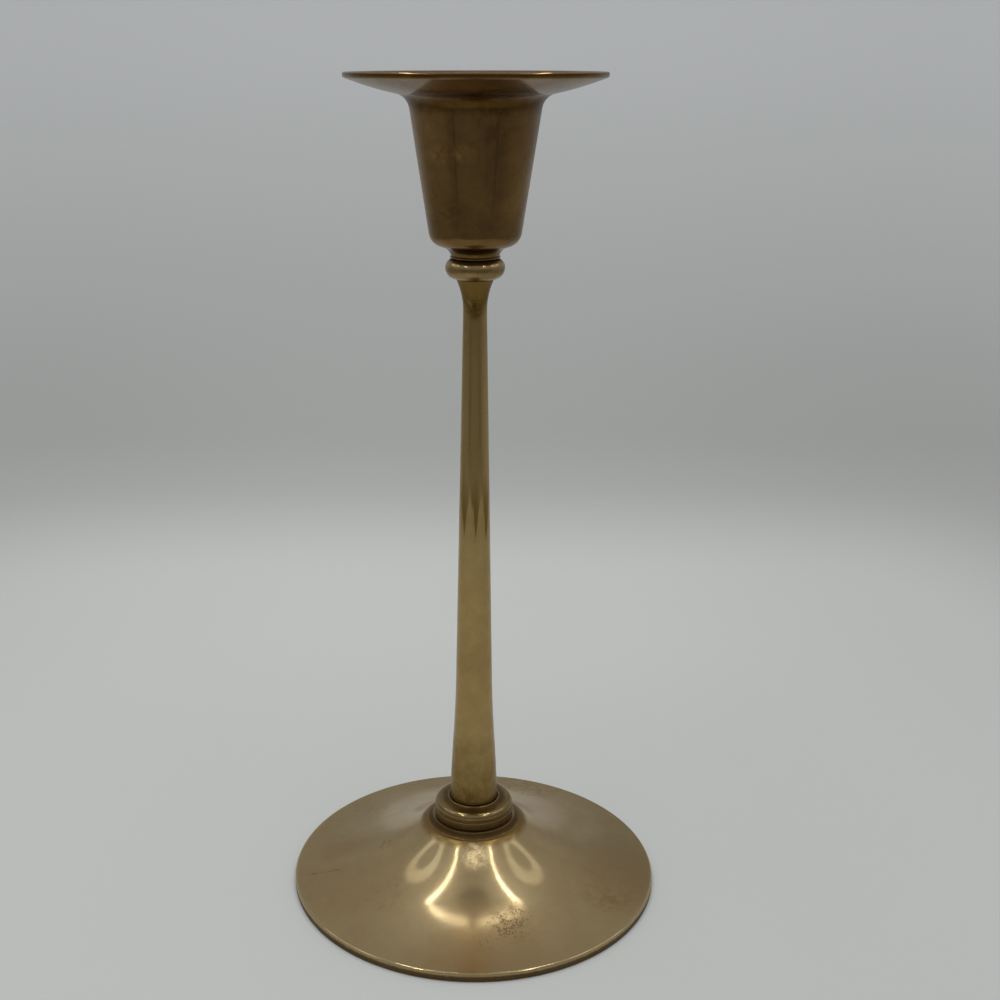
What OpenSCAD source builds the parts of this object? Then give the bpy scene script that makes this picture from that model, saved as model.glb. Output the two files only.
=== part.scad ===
// Turned brass candlestick: dished foot, beaded collar, tapering stem, knop and flared cup.
// Millimetres, +Z up. The origin is the middle of the foot, in the plane it rests on.

/* [Foot] */
// Radius of the foot at its edge
foot_r = 60; // [54:0.5:66]
// Height of the foot up to the seat of the collar
foot_h = 22.6; // [21.5:0.1:24.5]
// Height of the foot's upright edge
foot_edge_h = 2.9; // [2.7:0.1:3.6]
// Rounding of the foot's upper edge
foot_edge_round = 0.5; // [0.2:0.1:1]
// Slope of the foot's brim at its edge, degrees
foot_slope = 4.5; // [3:0.5:7]
// Slope where the brim's wide curve runs into the tighter curve of the bell, degrees
bell_slope = 22.5; // [21.5:0.5:23.5]
// Slope of the bell where it reaches the shoulder, degrees
shoulder_slope = 42.5; // [41:0.5:44]
// Radius of the shoulder
shoulder_r = 16.3; // [15.8:0.1:17.5]
// Rounding over the top of the shoulder
shoulder_round = 1; // [0.6:0.1:1.4]
// How far the lip of the foot stands out past the collar
foot_lip_w = 0.8; // [0.5:0.1:1.1]
// Thickness of the foot's shell
foot_wall = 2.6; // [2:0.1:2.8]
// Width of the flat ring that the foot rests on
rest_w = 5.5; // [5:0.5:8]
// Radius of the boss under the middle of the foot
boss_r = 9.5; // [9:0.1:11]
// Depth of the metal at the boss, from the collar's seat to the washer
boss_h = 11.6; // [10.5:0.1:12.5]
// Rounding where the boss joins the shell
boss_fillet_r = 1.4; // [0.8:0.1:2]

/* [Collar] */
// Radius of the collar at its band and bead
collar_r = 12.9; // [12.2:0.1:13.5]
// Height of the collar
collar_h = 6.5; // [6:0.1:7.5]
// Height of the plain band below the bead
band_h = 2.65; // [2.2:0.05:3]
// Radius of the bead in section
bead_r = 1.65; // [1.4:0.05:1.8]
// Bevel between the band and the bead
band_bevel = 0.35; // [0.2:0.05:0.6]
// Width of the lip round the recess that the stem stands in
collar_lip_w = 0.4; // [0.3:0.05:0.8]
// Gap between the stem and the wall of that recess
recess_gap = 0.35; // [0.2:0.05:0.5]
// Depth of that recess
recess_d = 0.5; // [0.3:0.1:0.8]

/* [Stem] */
// Height of the stem between the collar and the knop
stem_h = 172.2; // [140:1:210]
// Radius of the stem at its base
stem_base_r = 7.75; // [7.2:0.05:8.2]
// How far the swelling at the base stands out from the long taper
stem_swell = 1.1; // [0.5:0.1:1.5]
// Height of the swelling at the base
swell_h = 42; // [30:1:55]
// Radius of the stem at its waist, under the flare
stem_waist_r = 3.58; // [3.4:0.02:4.2]
// Radius of the stem at its top
stem_top_r = 5.7; // [5.4:0.05:5.9]
// Height of the flare at the top of the stem
stem_flare_h = 9.3; // [7:0.1:12]
// Rounding of the stem's lower edge
stem_base_round = 1.2; // [0.6:0.1:1.5]

/* [Knop] */
// Radius of the knop
knop_r = 8.85; // [8.4:0.05:9.4]
// Height of the knop
knop_h = 5.8; // [5.2:0.1:6.6]
// Height of the knop's widest ring above its underside
knop_wide_h = 3.35; // [3:0.05:3.6]
// Radius of the knop's lower face
knop_foot_r = 5.9; // [5.8:0.1:6.4]
// Radius of the knop's upper face
knop_top_r = 7.2; // [6.8:0.1:7.6]

/* [Cup] */
// Height of the cup from the knop to the top of its rim
cup_h = 52.6; // [48:0.2:60]
// Radius of the cup's neck
cup_neck_r = 7.15; // [6.9:0.05:7.3]
// Height of the cup's neck
cup_neck_h = 1; // [0.95:0.05:1.4]
// Radius in section of the fine ring turned on the neck
neck_ring_r = 0.3; // [0.2:0.02:0.32]
// Radius of the cove between the neck and the cup's bottom
cup_cove_r = 3.65; // [3:0.05:3.9]
// Slope of the cove where it leaves the neck, degrees
cup_cove_slope = 75; // [68:1:82]
// Slope of the cup's bottom, degrees
cup_bottom_slope = 19; // [14:1:24]
// Radius of the cup's bottom, measured to the sharp corner
cup_low_r = 13.25; // [13.2:0.05:14.5]
// Rounding of the corner between the bottom and the wall
cup_corner_r = 4.45; // [3.5:0.05:4.6]
// Lean of the cup's wall away from upright, degrees
cup_lean = 8.6; // [7.6:0.1:9.6]
// Radius of the fillet under the rim
rim_fillet_r = 4.8; // [3.8:0.1:6]
// Radius of the rim
rim_r = 37.7; // [34:0.1:42]
// Upright thickness of the rim
rim_t = 1.6; // [1.3:0.05:2]
// Slope of the rim next to the fillet, degrees
rim_in_slope = 12; // [9:0.5:14]
// Slope of the rim at its edge, degrees
rim_out_slope = 21; // [18:0.5:24]
// Radius of the bend from the socket out to the rim
mouth_r = 7; // [6.8:0.1:8]

/* [Socket] */
// Radius of the candle that the socket holds
candle_r = 11.1; // [10.6:0.05:11.2]
// Room left round the candle
candle_gap = 0.2; // [0.1:0.05:0.3]
// Depth of the socket's straight part
socket_depth = 16; // [12:0.5:20]
// Metal between the socket and the knop
socket_floor = 6.4; // [6.1:0.1:7.5]

/* [Fastening] */
// Radius of the threaded tenon below the stem
tenon_r = 4; // [3:0.1:4.5]
// Length of the tenon that stands out of the nut
tenon_end = 1; // [0.5:0.1:1.5]
// Radius of the stud that joins the stem, the knop and the cup
stud_r = 2; // [1.6:0.1:2.2]
// Depth of the stud in the stem
stud_in_stem = 8; // [5:0.5:9]
// Depth of the stud in the cup
stud_in_cup = 4.4; // [3.5:0.1:4.8]
// Gap round a thread in its tapped hole
thread_gap = 0.1; // [0.05:0.01:0.15]
// Gap round a thread in a plain hole
slip_gap = 0.2; // [0.15:0.01:0.3]
// Space left beyond each end of the stud
stud_end_gap = 0.3; // [0.2:0.1:0.6]
// Radius of the washer
washer_r = 8.5; // [8:0.1:9]
// Thickness of the washer
washer_t = 1.6; // [1:0.1:2]
// Width of the nut across its flats
nut_flats = 13; // [12.4:0.1:14]
// Height of the nut
nut_h = 5.5; // [4.5:0.1:6]
// Bevel round the nut's lower face
nut_bevel = 0.6; // [0.3:0.1:1]

/* [Hidden] */
$fn = 96;
// Straight pieces in each short curve of an outline
curve_steps = 12;
// Straight pieces in each long curve
long_steps = 24;
// Bevel that breaks a turned edge
edge_break = 0.3;
// How far a cut runs past the face it opens
overrun = 1;

// Heights of the faces where the pieces meet
stem_z = foot_h + collar_h - recess_d;
knop_z = stem_z + stem_h;
cup_z = knop_z + knop_h;
rim_z = cup_z + cup_h;
boss_z = foot_h - boss_h;
washer_z = boss_z - washer_t;
nut_z = washer_z - nut_h;
tenon_z = nut_z - tenon_end;

// Holes that the pieces share
tenon_hole_r = tenon_r + slip_gap;
stud_hole_r = stud_r + thread_gap;
socket_r = candle_r + candle_gap;

// An outline is a list of [radius, height] points
function arc(centre, radius, from, to, steps = curve_steps) =
    [for (i = [0 : steps]) let (t = from + (to - from) * i / steps) centre + radius * [cos(t), sin(t)]];

// A curve from a point where the outline climbs at angle a, on to where it climbs at angle b
function bend(start, radius, a, b, steps = curve_steps) =
    let (side = sign(b - a))
    arc(start + side * radius * [-sin(a), cos(a)], radius, a - side * 90, b - side * 90, steps);

// How far such a curve goes
function bend_shift(radius, a, b) = sign(b - a) * radius * [sin(b) - sin(a), cos(a) - cos(b)];

function last(points) = points[len(points) - 1];
function backwards(points) = [for (i = [len(points) - 1 : -1 : 0]) points[i]];

module turned(outline) {
    rotate_extrude() polygon(outline);
}

// A rod along the axis with bevelled ends
module rod(radius, low, high) {
    turned([[0, low], [radius - edge_break, low], [radius, low + edge_break],
        [radius, high - edge_break], [radius - edge_break, high], [0, high]]);
}

// The foot's flare is two curves, the brim's and the bell's, as round as they must be for the brim to start
// at the foot's edge and the bell to end at the shoulder
foot_lip_r = collar_r + foot_lip_w;
shoulder_top_r = shoulder_r - shoulder_round * sin(shoulder_slope);
foot_cove_r = shoulder_top_r - foot_lip_r;
shoulder_z = foot_h - foot_cove_r - shoulder_round * (1 - cos(shoulder_slope));
brim_shares = [sin(bell_slope) - sin(foot_slope), cos(foot_slope) - cos(bell_slope)];
bell_shares = [sin(shoulder_slope) - sin(bell_slope), cos(bell_slope) - cos(shoulder_slope)];
flare_run = foot_r - foot_edge_round * (1 - sin(foot_slope)) - shoulder_r;
flare_rise = shoulder_z - foot_edge_h;
turn_share = bell_shares[0] * brim_shares[1] - brim_shares[0] * bell_shares[1];
bell_curve_r = (flare_run * brim_shares[1] - flare_rise * brim_shares[0]) / turn_share;
brim_curve_r = (flare_rise * bell_shares[0] - flare_run * bell_shares[1]) / turn_share;
bell_centre = [shoulder_r, shoulder_z] + bell_curve_r * [sin(shoulder_slope), cos(shoulder_slope)];
brim_centre = bell_centre + (brim_curve_r - bell_curve_r) * [sin(bell_slope), cos(bell_slope)];

// The flare up to the shoulder from where its slope is start_slope, or the same curves deeper in the shell
function flare(depth, start_slope) = concat(
    arc(brim_centre, brim_curve_r + depth, 270 - start_slope, 270 - bell_slope, long_steps),
    arc(bell_centre, bell_curve_r + depth, 270 - bell_slope, 270 - shoulder_slope, long_steps));

module foot() {
    rest_r = foot_r - rest_w;
    rest_slope = asin((brim_centre[0] - rest_r) / (brim_curve_r + foot_wall));
    inside = flare(foot_wall, rest_slope);
    ceiling_z = last(inside)[1];
    upper_side = concat(
        arc([foot_r - foot_edge_round, foot_edge_h - foot_edge_round * cos(foot_slope)],
            foot_edge_round, 0, 90 - foot_slope),
        flare(0, foot_slope),
        arc([shoulder_top_r, shoulder_z - shoulder_round * cos(shoulder_slope)],
            shoulder_round, 90 - shoulder_slope, 90),
        arc([shoulder_top_r, foot_h], foot_cove_r, 270, 180));
    hollow_side = concat(
        [[rest_r, 0]],
        inside,
        arc([boss_r + boss_fillet_r, ceiling_z - boss_fillet_r], boss_fillet_r, 90, 180),
        [[boss_r, boss_z + edge_break], [boss_r - edge_break, boss_z]]);
    color("#a8894c") turned(concat(
        [[foot_r, edge_break], [foot_r - edge_break, 0]],
        hollow_side,
        [[tenon_hole_r, boss_z], [tenon_hole_r, foot_h]],
        backwards(upper_side)));
}

module foot_collar() {
    top_z = foot_h + collar_h;
    band_z = foot_h + band_h;
    recess_r = stem_base_r + recess_gap;
    lip_r = recess_r + collar_lip_w;
    bead_from = -45;
    bead_centre = [collar_r - bead_r, band_z - bead_r * sin(bead_from)];
    color("#8f7338") turned(concat(
        [[tenon_hole_r, foot_h], [collar_r - edge_break, foot_h], [collar_r, foot_h + edge_break],
            [collar_r, band_z - band_bevel]],
        arc(bead_centre, bead_r, bead_from, 90),
        [[lip_r, top_z], [recess_r, top_z], [recess_r, stem_z], [tenon_hole_r, stem_z]]));
}

// Radius of the stem's long taper and swelling at height h above its base
function stem_r(h) =
    stem_base_r - stem_swell
    + (stem_waist_r + stem_swell - stem_base_r) * h / (stem_h - stem_flare_h)
    + (h < swell_h ? stem_swell * (1 + cos(180 * h / swell_h)) / 2 : 0);

module stem() {
    flare_out = stem_top_r - stem_waist_r;
    top_flare_r = (flare_out ^ 2 + stem_flare_h ^ 2) / (2 * flare_out);
    flare_turn = asin(stem_flare_h / top_flare_r);
    flare_z = knop_z - stem_flare_h;
    swell_steps = [for (i = [1 : long_steps]) stem_base_round + (swell_h - stem_base_round) * i / long_steps];
    color("#a98c45") difference() {
        turned(concat(
            [[0, tenon_z], [tenon_r - edge_break, tenon_z], [tenon_r, tenon_z + edge_break], [tenon_r, stem_z]],
            arc([stem_r(stem_base_round) - stem_base_round, stem_z + stem_base_round],
                stem_base_round, -90, 0),
            [for (h = swell_steps) [stem_r(h), stem_z + h]],
            arc([stem_waist_r + top_flare_r, flare_z], top_flare_r, 180, 180 - flare_turn),
            [[0, knop_z]]));
        translate([0, 0, knop_z - stud_in_stem - stud_end_gap])
            cylinder(r = stud_hole_r, h = stud_in_stem + stud_end_gap + overrun);
    }
}

module neck_knop() {
    stud_clear_r = stud_r + slip_gap;
    wide_z = knop_z + knop_wide_h;
    low_turn = 2 * atan((knop_r - knop_foot_r) / knop_wide_h);
    low_r = knop_wide_h / sin(low_turn);
    top_turn = 2 * atan((knop_r - knop_top_r) / (knop_h - knop_wide_h));
    top_r = (knop_h - knop_wide_h) / sin(top_turn);
    color("#97793c") turned(concat(
        [[stud_clear_r, knop_z]],
        arc([knop_r - low_r, wide_z], low_r, -low_turn, 0),
        arc([knop_r - top_r, wide_z], top_r, 0, top_turn),
        [[stud_clear_r, cup_z]]));
}

// The cup's outline: the upright places of its wall's two ends follow from the slopes
wall_slope = 90 - cup_lean;
cove_end = [cup_neck_r, cup_z + cup_neck_h] + bend_shift(cup_cove_r, cup_cove_slope, cup_bottom_slope);
low_corner = [cup_low_r, cove_end[1] + (cup_low_r - cove_end[0]) * tan(cup_bottom_slope)];
corner_reach = cup_corner_r * tan((wall_slope - cup_bottom_slope) / 2);
rim_edge_r = rim_r - edge_break;
fillet_shift = bend_shift(rim_fillet_r, wall_slope, rim_in_slope);
rim_rise_share = tan((rim_in_slope + rim_out_slope) / 2);
fillet_z = (rim_z - rim_t - fillet_shift[1] - rim_rise_share
        * (rim_edge_r - fillet_shift[0] - low_corner[0] + low_corner[1] * tan(cup_lean)))
    / (1 - rim_rise_share * tan(cup_lean));
fillet_start = [low_corner[0] + (fillet_z - low_corner[1]) * tan(cup_lean), fillet_z];
rim_start = fillet_start + fillet_shift;
rim_curve_r = (rim_edge_r - rim_start[0]) / (sin(rim_out_slope) - sin(rim_in_slope));

module cup() {
    floor_z = cup_z + socket_floor;
    socket_top = [socket_r, floor_z + socket_depth];
    ring_z = cup_z + edge_break + neck_ring_r;
    rim_under = bend(rim_start, rim_curve_r, rim_in_slope, rim_out_slope);
    rim_over = [for (p = rim_under) p + [0, rim_t]];
    mouth_centre = rim_over[0] + mouth_r * [sin(rim_in_slope), -cos(rim_in_slope)];
    to_centre = mouth_centre - socket_top;
    inner_slope = atan2(to_centre[1], to_centre[0]) + asin(mouth_r / norm(to_centre));
    color("#8d6f3a") difference() {
        turned(concat(
            [[0, cup_z], [cup_neck_r - edge_break, cup_z], [cup_neck_r, cup_z + edge_break]],
            arc([cup_neck_r, ring_z], neck_ring_r, -90, 90),
            bend([cup_neck_r, cup_z + cup_neck_h], cup_cove_r, cup_cove_slope, cup_bottom_slope),
            bend(low_corner - corner_reach * [cos(cup_bottom_slope), sin(cup_bottom_slope)],
                cup_corner_r, cup_bottom_slope, wall_slope),
            bend(fillet_start, rim_fillet_r, wall_slope, rim_in_slope),
            rim_under,
            [[rim_r, rim_z - rim_t + edge_break], [rim_r, rim_z - edge_break]],
            backwards(rim_over),
            arc(mouth_centre, mouth_r, 90 + rim_in_slope, 90 + inner_slope),
            [socket_top, [socket_r, floor_z], [0, floor_z]]));
        translate([0, 0, cup_z - overrun])
            cylinder(r = stud_hole_r, h = stud_in_cup + stud_end_gap + overrun);
    }
}

module cup_stud() {
    color("#b9a25e") rod(stud_r, knop_z - stud_in_stem, cup_z + stud_in_cup);
}

module foot_washer() {
    color("#b3a06b") turned([[tenon_hole_r, washer_z], [washer_r, washer_z],
        [washer_r, boss_z], [tenon_hole_r, boss_z]]);
}

module foot_nut() {
    corner_r = nut_flats / 2 / cos(30);
    flat_r = nut_flats / 2;
    color("#ad9654") difference() {
        intersection() {
            translate([0, 0, nut_z]) cylinder(r = corner_r, h = nut_h, $fn = 6);
            turned([[0, nut_z], [flat_r, nut_z], [flat_r + 2 * nut_bevel, nut_z + nut_bevel],
                [flat_r + 2 * nut_bevel, washer_z], [0, washer_z]]);
        }
        translate([0, 0, nut_z - overrun]) cylinder(r = tenon_r + thread_gap, h = nut_h + 2 * overrun);
    }
}

foot();
foot_collar();
stem();
neck_knop();
cup();
cup_stud();
foot_washer();
foot_nut();
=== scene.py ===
"""Dresses a turned brass candlestick and sets it in a plain studio."""

import logging
import math
from dataclasses import dataclass, field
from enum import Enum

import bmesh
import bpy
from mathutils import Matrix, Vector


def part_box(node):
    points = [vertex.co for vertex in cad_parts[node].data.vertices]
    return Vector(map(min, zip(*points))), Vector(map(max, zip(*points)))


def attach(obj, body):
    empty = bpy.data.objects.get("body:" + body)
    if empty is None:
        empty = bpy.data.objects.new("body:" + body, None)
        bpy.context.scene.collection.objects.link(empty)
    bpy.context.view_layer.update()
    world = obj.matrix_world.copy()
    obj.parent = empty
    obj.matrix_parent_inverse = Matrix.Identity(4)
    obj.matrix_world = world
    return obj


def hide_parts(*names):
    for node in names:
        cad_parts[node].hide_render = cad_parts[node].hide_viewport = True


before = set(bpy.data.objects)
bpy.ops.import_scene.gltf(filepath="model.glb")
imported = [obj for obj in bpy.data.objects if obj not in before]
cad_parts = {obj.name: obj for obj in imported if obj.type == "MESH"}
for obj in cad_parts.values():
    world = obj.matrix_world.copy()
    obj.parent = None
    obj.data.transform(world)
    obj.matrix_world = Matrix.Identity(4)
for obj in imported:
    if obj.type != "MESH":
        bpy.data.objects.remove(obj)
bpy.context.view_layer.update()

MM = 0.001
POINT_VALUES = ("along", "grime", "worn", "film")
LOG = logging.getLogger("candlestick")

Point = tuple[float, float]
Spot = tuple[float, float, float]
Colour = tuple[float, float, float]
Band = tuple[float, float]
Places = list[tuple[Point, float]]


class Slot(Enum):
    """The record's material slots."""

    FOOT = "foot_brass"
    COLLAR = "collar_brass"
    STEM = "stem_brass"
    KNOP = "knop_brass"
    CUP = "cup_brass"
    FASTENER = "fastener_brass"


class Interpolation(Enum):
    """How a ramp runs between two values."""

    STRAIGHT = "LINEAR"
    SMOOTH = "SMOOTHSTEP"


def sin(degrees: float) -> float:
    """Sine of an angle in degrees."""
    return math.sin(math.radians(degrees))


def cos(degrees: float) -> float:
    """Cosine of an angle in degrees."""
    return math.cos(math.radians(degrees))


def tan(degrees: float) -> float:
    """Tangent of an angle in degrees."""
    return math.tan(math.radians(degrees))


def arc(centre: Point, radius: float, start: float, end: float, step: float = 4.0) -> list[Point]:
    """Points along an arc of an outline.

    Args:
        centre: Middle of the arc, as radius and height.
        radius: Radius of the arc.
        start: Angle of the first point, in degrees.
        end: Angle of the last point, in degrees.
        step: Largest angle between two points, in degrees.

    Returns:
        The points from start to end.
    """
    count = max(2, math.ceil(abs(end - start) / step))
    angles = [start + (end - start) * i / count for i in range(count + 1)]
    return [(centre[0] + radius * cos(a), centre[1] + radius * sin(a)) for a in angles]


def bend(start: Point, radius: float, a: float, b: float, step: float = 4.0) -> list[Point]:
    """A curve from a point where the outline climbs at one angle, on to where it climbs at another.

    Args:
        start: First point of the curve.
        radius: Radius of the curve.
        a: Slope at the first point, in degrees.
        b: Slope at the last point, in degrees.
        step: Largest angle between two points, in degrees.

    Returns:
        The points of the curve.
    """
    side = math.copysign(1, b - a)
    centre = (start[0] - side * radius * sin(a), start[1] + side * radius * cos(a))
    return arc(centre, radius, a - side * 90, b - side * 90, step)


def bend_shift(radius: float, a: float, b: float) -> Vector:
    """How far a curve made by bend goes, as a change of radius and height."""
    return math.copysign(1, b - a) * radius * Vector((sin(b) - sin(a), cos(a) - cos(b)))


def eased(points: list[Point], ease: float, closed: bool) -> list[Point]:
    """Rounds the sharp corners of an outline, as polishing does.

    Args:
        points: The outline.
        ease: Radius of the rounding, less where the neighbours are close.
        closed: Whether the outline is a ring, with its last point joined to its first.

    Returns:
        The outline with each sharp corner as a small curve.
    """
    sharp_turn, curve_steps, reach_share, same_point = 25.0, 4, 0.45, 1e-4
    out: list[Point] = []
    points = [p for i, p in enumerate(points) if i == 0 or math.dist(p, points[i - 1]) > same_point]
    count = len(points)
    for i, point in enumerate(points):
        here = Vector(point)
        before, after = Vector(points[i - 1]) - here, Vector(points[(i + 1) % count]) - here
        at_end = not closed and i in (0, count - 1)
        turn = 0.0 if at_end else 180 - math.degrees(before.angle(after))
        if turn < sharp_turn:
            out.append(point)
            continue
        reach = min(ease * tan(turn / 2), reach_share * before.length, reach_share * after.length)
        first, last = here + reach * before.normalized(), here + reach * after.normalized()
        for k in range(curve_steps + 1):
            t = k / curve_steps
            out.append(tuple((1 - t) ** 2 * first + 2 * t * (1 - t) * here + t ** 2 * last))
    return out


def spaced(points: list[Point], longest: float, closed: bool) -> list[Point]:
    """Divides the long runs of an outline, with a close point near each end of one that meets a bend.

    Args:
        points: The outline.
        longest: Longest run that is left undivided.
        closed: Whether the outline is a ring.

    Returns:
        The outline with more points on the same lines.
    """
    support, shortest, small_turn = 0.12, 0.48, 2.0
    count = len(points)

    def bends(i: int) -> bool:
        """Whether the outline ends at a point, or turns there by more than a smooth curve's step.

        Args:
            i: Place of the point in the outline.

        Returns:
            True where it ends or turns so.
        """
        before, here, after = (Vector(points[k % count]) for k in (i - 1, i, i + 1))
        at_end = not closed and i in (0, count - 1)
        return at_end or (here - before).angle(after - here, 0.0) > math.radians(small_turn)

    out = [points[0]]
    for i in range(count if closed else count - 1):
        a, b = Vector(points[i]), Vector(points[(i + 1) % count])
        run = (b - a).length
        if run > shortest:
            parts = math.ceil(run / longest)
            shares = [k / parts for k in range(1, parts)]
            if bends(i) or bends(i + 1):
                shares += [support / run, 1 - support / run]
            out += [tuple(a.lerp(b, t)) for t in sorted(shares)]
        out.append(tuple(b))
    return out


@dataclass(frozen=True)
class Noise:
    """A cloudy pattern.

    It has so many clouds to a metre and so many finer layers of some strength, it is stirred, and it has its
    own seed.
    """

    scale: float
    detail: float = 3.0
    roughness: float = 0.6
    distortion: float = 0.0
    seed: float = 0.0


class Channel:
    """A shader socket that takes part in arithmetic."""

    def __init__(self, graph: "Graph", socket: bpy.types.NodeSocket) -> None:
        """Wraps a socket of a graph's node."""
        self.graph = graph
        self.socket = socket

    def __add__(self, other: "Channel | float") -> "Channel":
        """Sum."""
        return self.graph.maths("ADD", self, other)

    __radd__ = __add__

    def __sub__(self, other: "Channel | float") -> "Channel":
        """Difference."""
        return self.graph.maths("SUBTRACT", self, other)

    def __rsub__(self, other: float) -> "Channel":
        """Difference from a number."""
        return self.graph.maths("SUBTRACT", other, self)

    def __mul__(self, other: "Channel | float") -> "Channel":
        """Product."""
        return self.graph.maths("MULTIPLY", self, other)

    __rmul__ = __mul__

    def __truediv__(self, other: "Channel | float") -> "Channel":
        """Quotient."""
        return self.graph.maths("DIVIDE", self, other)

    def __rtruediv__(self, other: float) -> "Channel":
        """Quotient of a number."""
        return self.graph.maths("DIVIDE", other, self)

    def least(self, other: "Channel | float") -> "Channel":
        """The smaller of two values."""
        return self.graph.maths("MINIMUM", self, other)

    def most(self, other: "Channel | float") -> "Channel":
        """The larger of two values."""
        return self.graph.maths("MAXIMUM", self, other)

    def size(self) -> "Channel":
        """The value without its sign."""
        return self.graph.maths("ABSOLUTE", self)

    def share(self) -> "Channel":
        """The value held between 0 and 1."""
        return self.graph.maths("ADD", self, 0.0, clamp=True)

    def ramp(self, low: float, high: float, a: float = 0.0, b: float = 1.0,
             how: Interpolation = Interpolation.SMOOTH) -> "Channel":
        """Runs from a at low to b at high, and stays there beyond.

        Args:
            low: Value at which the ramp starts.
            high: Value at which it ends.
            a: Result at the start.
            b: Result at the end.
            how: Straight or smooth.

        Returns:
            The ramp's result.
        """
        sockets = {"Value": self, "From Min": low, "From Max": high, "To Min": a, "To Max": b}
        return self.graph.node("ShaderNodeMapRange", {"interpolation_type": how.value}, sockets)


class Graph:
    """The nodes of one material or world."""

    def __init__(self, tree: bpy.types.NodeTree) -> None:
        """Starts from an empty tree."""
        self.tree = tree
        tree.nodes.clear()

    def add(self, kind: str, settings: dict | None = None, sockets: dict | None = None) -> bpy.types.Node:
        """Adds a node.

        Args:
            kind: Type of the node.
            settings: Properties, which are set first.
            sockets: Values or channels by the name or place of the input.

        Returns:
            The node.
        """
        node = self.tree.nodes.new(kind)
        for name, value in (settings or {}).items():
            setattr(node, name, value)
        for key, value in (sockets or {}).items():
            if isinstance(value, Channel):
                self.tree.links.new(value.socket, node.inputs[key])
            else:
                node.inputs[key].default_value = value
        return node

    def node(self, kind: str, settings: dict | None = None, sockets: dict | None = None,
             output: str | int = 0) -> Channel:
        """Adds a node and gives one of its outputs.

        Args:
            kind: Type of the node.
            settings: Properties, which are set first.
            sockets: Values or channels by the name or place of the input.
            output: Name or place of the output.

        Returns:
            The output as a channel.
        """
        return Channel(self, self.add(kind, settings, sockets).outputs[output])

    def maths(self, operation: str, *values: "Channel | float", clamp: bool = False) -> Channel:
        """Adds a Math node on the given values."""
        settings = {"operation": operation, "use_clamp": clamp}
        return self.node("ShaderNodeMath", settings, dict(enumerate(values)))

    def vectors(self, operation: str, *values: "Channel | tuple", output: str | int = 0) -> Channel:
        """Adds a Vector Math node on the given values."""
        return self.node("ShaderNodeVectorMath", {"operation": operation}, dict(enumerate(values)), output)

    def place(self) -> Channel:
        """The point on the piece, in metres from the middle of the foot."""
        return self.node("ShaderNodeTexCoord", output="Object")

    def split(self, vector: Channel) -> tuple[Channel, Channel, Channel]:
        """The three parts of a vector."""
        outputs = self.add("ShaderNodeSeparateXYZ", sockets={0: vector}).outputs
        return tuple(Channel(self, socket) for socket in outputs)

    def joined(self, x: "Channel | float", y: "Channel | float", z: "Channel | float" = 0.0) -> Channel:
        """A vector from its three parts."""
        return self.node("ShaderNodeCombineXYZ", sockets={0: x, 1: y, 2: z})

    def attribute(self, name: str) -> Channel:
        """A value that the piece's mesh holds."""
        return self.node("ShaderNodeAttribute", {"attribute_name": name}, output="Fac")

    def distance(self, place: Channel, spot: Spot) -> Channel:
        """How far the point is from a spot."""
        return self.vectors("DISTANCE", place, spot, output="Value")

    def scaled(self, vector: Channel, factors: Spot) -> Channel:
        """A vector with each of its parts multiplied."""
        return self.vectors("MULTIPLY", vector, factors)

    def noise(self, vector: Channel, kind: Noise, seed: float, finer: float = 1.0) -> Channel:
        """Cloudy noise about 0.5.

        Args:
            vector: Where to read the noise.
            kind: Its pattern.
            seed: Which piece's copy of the pattern it is.
            finer: How many times as many clouds there are to a metre.

        Returns:
            The noise.
        """
        moved = self.vectors("ADD", vector, (seed + kind.seed, 0.0, 0.0))
        sockets = {"Vector": moved, "Scale": finer * kind.scale, "Detail": kind.detail,
                   "Roughness": kind.roughness, "Distortion": kind.distortion}
        return self.node("ShaderNodeTexNoise", sockets=sockets, output="Fac")

    def specks(self, vector: Channel, scale: float) -> Channel:
        """Distance to the nearest of a scatter of points, as a share of their spacing."""
        sockets = {"Vector": vector, "Scale": scale}
        return self.node("ShaderNodeTexVoronoi", sockets=sockets, output="Distance")

    def blend(self, share: "Channel | float", a: "Channel | tuple", b: "Channel | tuple") -> Channel:
        """The colour a where share is 0 and b where it is 1.

        Args:
            share: How much of b shows.
            a: Colour where share is 0.
            b: Colour where share is 1.

        Returns:
            The mixed colour.
        """
        colours = [c if isinstance(c, Channel) else (*c, 1.0) for c in (a, b)]
        sockets = {"Factor": share, 6: colours[0], 7: colours[1]}
        return self.node("ShaderNodeMix", {"data_type": "RGBA"}, sockets, 2)

    def bump(self, height: Channel, depth: float) -> Channel:
        """The surface's direction where height stands out by up to depth."""
        return self.node("ShaderNodeBump", sockets={"Strength": 1.0, "Distance": depth, "Height": height})

    def finish(self, shader: Channel, kind: str = "ShaderNodeOutputMaterial") -> None:
        """Ends the tree in its output node."""
        self.add(kind, sockets={"Surface": shader})


def new_material(name: str) -> tuple[bpy.types.Material, Graph]:
    """A material and the graph of its nodes, which is empty.

    Args:
        name: Name of the material.

    Returns:
        The material and its graph.
    """
    material = bpy.data.materials.new(name)
    material.use_nodes = True
    return material, Graph(material.node_tree)


def new_mesh(name: str, verts: list, faces: list, finish: bpy.types.Material) -> bpy.types.Mesh:
    """A mesh of one material from its points, in metres, and its faces.

    Args:
        name: Name of the mesh.
        verts: The points.
        faces: Which points each face joins.
        finish: The material.

    Returns:
        The mesh.
    """
    mesh = bpy.data.meshes.new(name)
    mesh.from_pydata(verts, [], faces)
    mesh.materials.append(finish)
    return mesh


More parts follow.
